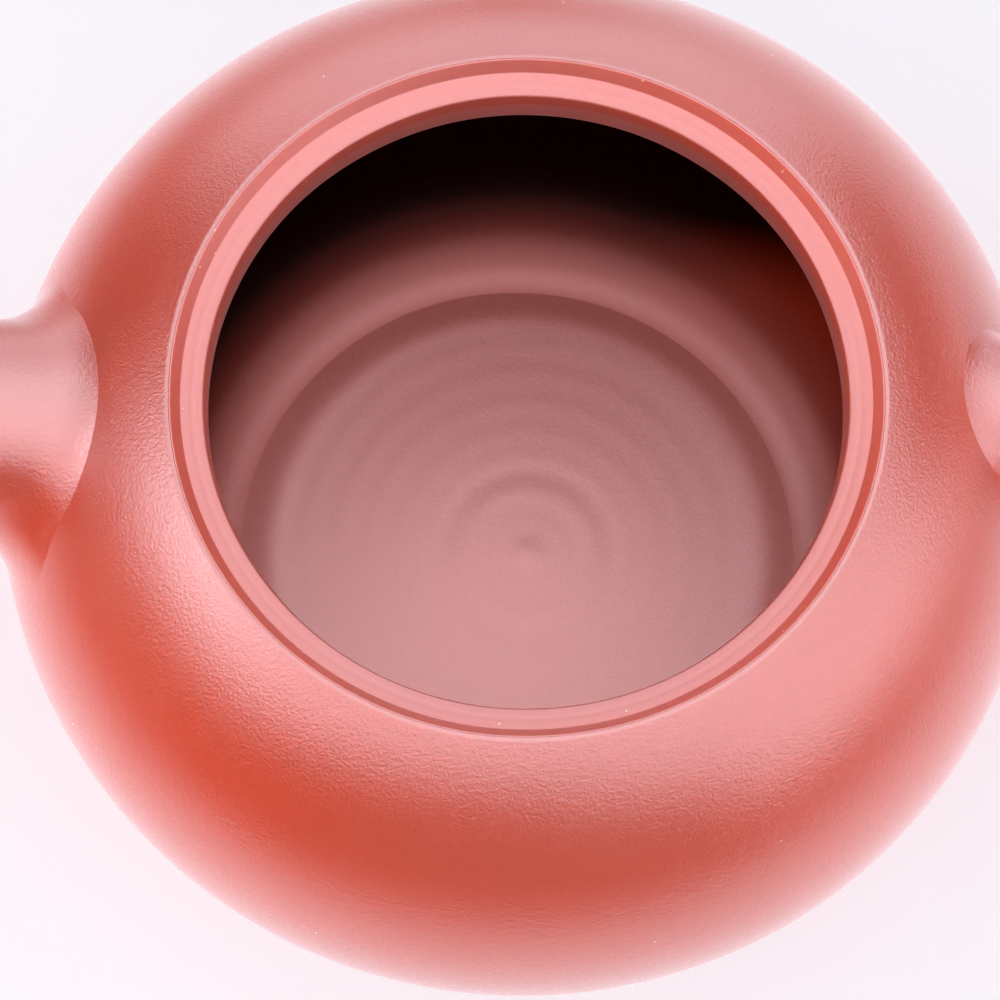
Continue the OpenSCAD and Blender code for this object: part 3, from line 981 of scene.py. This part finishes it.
world = bpy.data.worlds.new("studioWorld")
bpy.context.scene.world = world
world.use_nodes = True
sky = world.node_tree
sky.nodes.clear()
rays = addNode(sky, "ShaderNodeLightPath")
ambient = addNode(sky, "ShaderNodeBackground", {"Color": worldColour, "Strength": studio["ambient"]})
gloom = addNode(sky, "ShaderNodeBackground", {"Color": worldColour, "Strength": studio["gloomInGloss"]})
white = addNode(sky, "ShaderNodeBackground", {"Color": worldColour, "Strength": 1.0})
inGloss = addNode(sky, "ShaderNodeMixShader", {},
                  {0: rays.outputs["Is Glossy Ray"], 1: ambient.outputs[0], 2: gloom.outputs[0]})
seen = addNode(sky, "ShaderNodeMixShader", {},
               {0: rays.outputs["Is Camera Ray"], 1: inGloss.outputs[0], 2: white.outputs[0]})
addNode(sky, "ShaderNodeOutputWorld", {}, {"Surface": seen.outputs[0]})

# Each softbox: two opposite corners of its flat face, the way it shines, its radiance, and its use. A "fill"
# only lights the clay and a "gloss" only shows in its gloss, so that colour and highlights are set apart.
top = 0.75
down = (0, 0, -1)
softboxes = {
    "overheadSoftbox": ((-0.5, -0.6, top - 0.03), (0.5, 0.5, top - 0.03), down, 0.5, "fill"),
    "ceilingGloss": ((-0.55, -0.95, top), (1.1, 1.3, top), down, 3.3, "gloss"),
    "ceilingLeftGloss": ((-1.5, -0.85, top), (-0.55, 0.35, top), down, 4.1, "gloss"),
    "paneGloss": ((-0.86, -0.22, top - 0.01), (-0.62, 0.04, top - 0.01), down, 9.0, "gloss"),
    "leftLowGloss": ((-2.2, -0.3, top), (-1.5, 0.6, top), down, 3.2, "gloss"),
    "windowLight": ((-1.0, -0.5, 0.5), (-1.0, 0.4, 0.8), (1, 0, -0.65), 1.3, "fill"),
    "frontLight": ((-0.6, -1.1, 0.28), (0.6, -1.1, 0.55), (0, 1, -0.35), 1.6, "fill"),
    "ceilingCornerGloss": ((0.25, -1.35, top), (1.3, -0.95, top), down, 3.0, "gloss"),
    "backGloss": ((-1.0, 1.3, 0.0), (1.0, 1.3, top), (0, -1, 0), 2.3, "gloss"),
    "rightGloss": ((1.1, -1.4, 0.12), (1.1, 0.1, top), (-1, 0, 0), 3.2, "gloss"),
    "middleGloss": ((-0.25, -0.4, top - 0.02), (0.45, 0.6, top - 0.02), down, 1.6, "gloss"),
    "frontFill": ((-0.8, -1.2, 0.03), (0.8, -1.2, 0.15), (0, 1, 0), 15.0, "fill"),
    "leftFill": ((-1.2, -0.7, 0.03), (-1.2, 0.7, 0.15), (1, 0, 0), 31.0, "fill"),
    "rightFill": ((1.2, -0.7, 0.03), (1.2, 0.7, 0.15), (-1, 0, 0), 23.0, "fill"),
    "backFill": ((-0.8, 1.2, 0.03), (0.8, 1.2, 0.15), (0, -1, 0), 14.0, "fill"),
}


# Puts an object's own X, Y and Z along three directions, at a place.
def setFrame(thing, right, up, backward, place):
    thing.matrix_world = Matrix((
        (right.x, up.x, backward.x, place.x),
        (right.y, up.y, backward.y, place.y),
        (right.z, up.z, backward.z, place.z),
        (0, 0, 0, 1)))
    bpy.context.scene.collection.objects.link(thing)


def softbox(name, low, high, facing, radiance, use):
    span = Vector(high) - Vector(low)
    across = Vector((span.x, span.y, 0)) if abs(span.z) > 0 else Vector((span.x, 0, 0))
    rise = span - across
    light = bpy.data.lights.new(name, "AREA")
    light.shape = "RECTANGLE"
    light.size = across.length
    light.size_y = rise.length
    light.energy = radiance * math.pi * across.length * rise.length
    light.color = colour(studio[use + "Tint"])[:3]
    lamp = bpy.data.objects.new(name, light)
    outward = -Vector(facing).normalized()
    side = across.normalized()
    setFrame(lamp, side, outward.cross(side), outward, (Vector(low) + Vector(high)) / 2)
    lamp.visible_camera = False
    lamp.visible_diffuse = use == "fill"
    lamp.visible_glossy = use == "gloss"


for name, settings in softboxes.items():
    softbox(name, *settings)

# Angles in degrees and lengths in millimetres. The camera turns about the point that it aims at.
view = {
    "elevation": 72.93,
    "azimuth": 3.326,
    "roll": 2.616,
    "distance": 380.0,
    "aimRight": -1.809,
    "aimAhead": -4.497,
    "aimHeight": 35.0,
    "focalPixels": 4379.8,
    "imagePixels": 1000,
    "sensorWidth": 36,
    "nearest": 10.0,
}
elevation = math.radians(view["elevation"])
azimuth = math.radians(view["azimuth"])
ahead = Vector((math.sin(azimuth), math.cos(azimuth), 0))
sideways = Vector((math.cos(azimuth), -math.sin(azimuth), 0))
forward = ahead * math.cos(elevation) - Vector((0, 0, math.sin(elevation)))
upward = sideways.cross(forward)
roll = math.radians(view["roll"])
right = sideways * math.cos(roll) + upward * math.sin(roll)
up = upward * math.cos(roll) - sideways * math.sin(roll)
aim = sideways * view["aimRight"] + ahead * view["aimAhead"] + Vector((0, 0, view["aimHeight"]))
cameraData = bpy.data.cameras.new("camera")
cameraData.sensor_width = view["sensorWidth"]
cameraData.lens = view["focalPixels"] * view["sensorWidth"] / view["imagePixels"]
cameraData.clip_start = view["nearest"] * mm
camera = bpy.data.objects.new("camera", cameraData)
setFrame(camera, right, up, -forward, (aim - forward * view["distance"]) * mm)
bpy.context.scene.camera = camera
bpy.context.scene.view_settings.view_transform = "Standard"
print("studio and camera made")
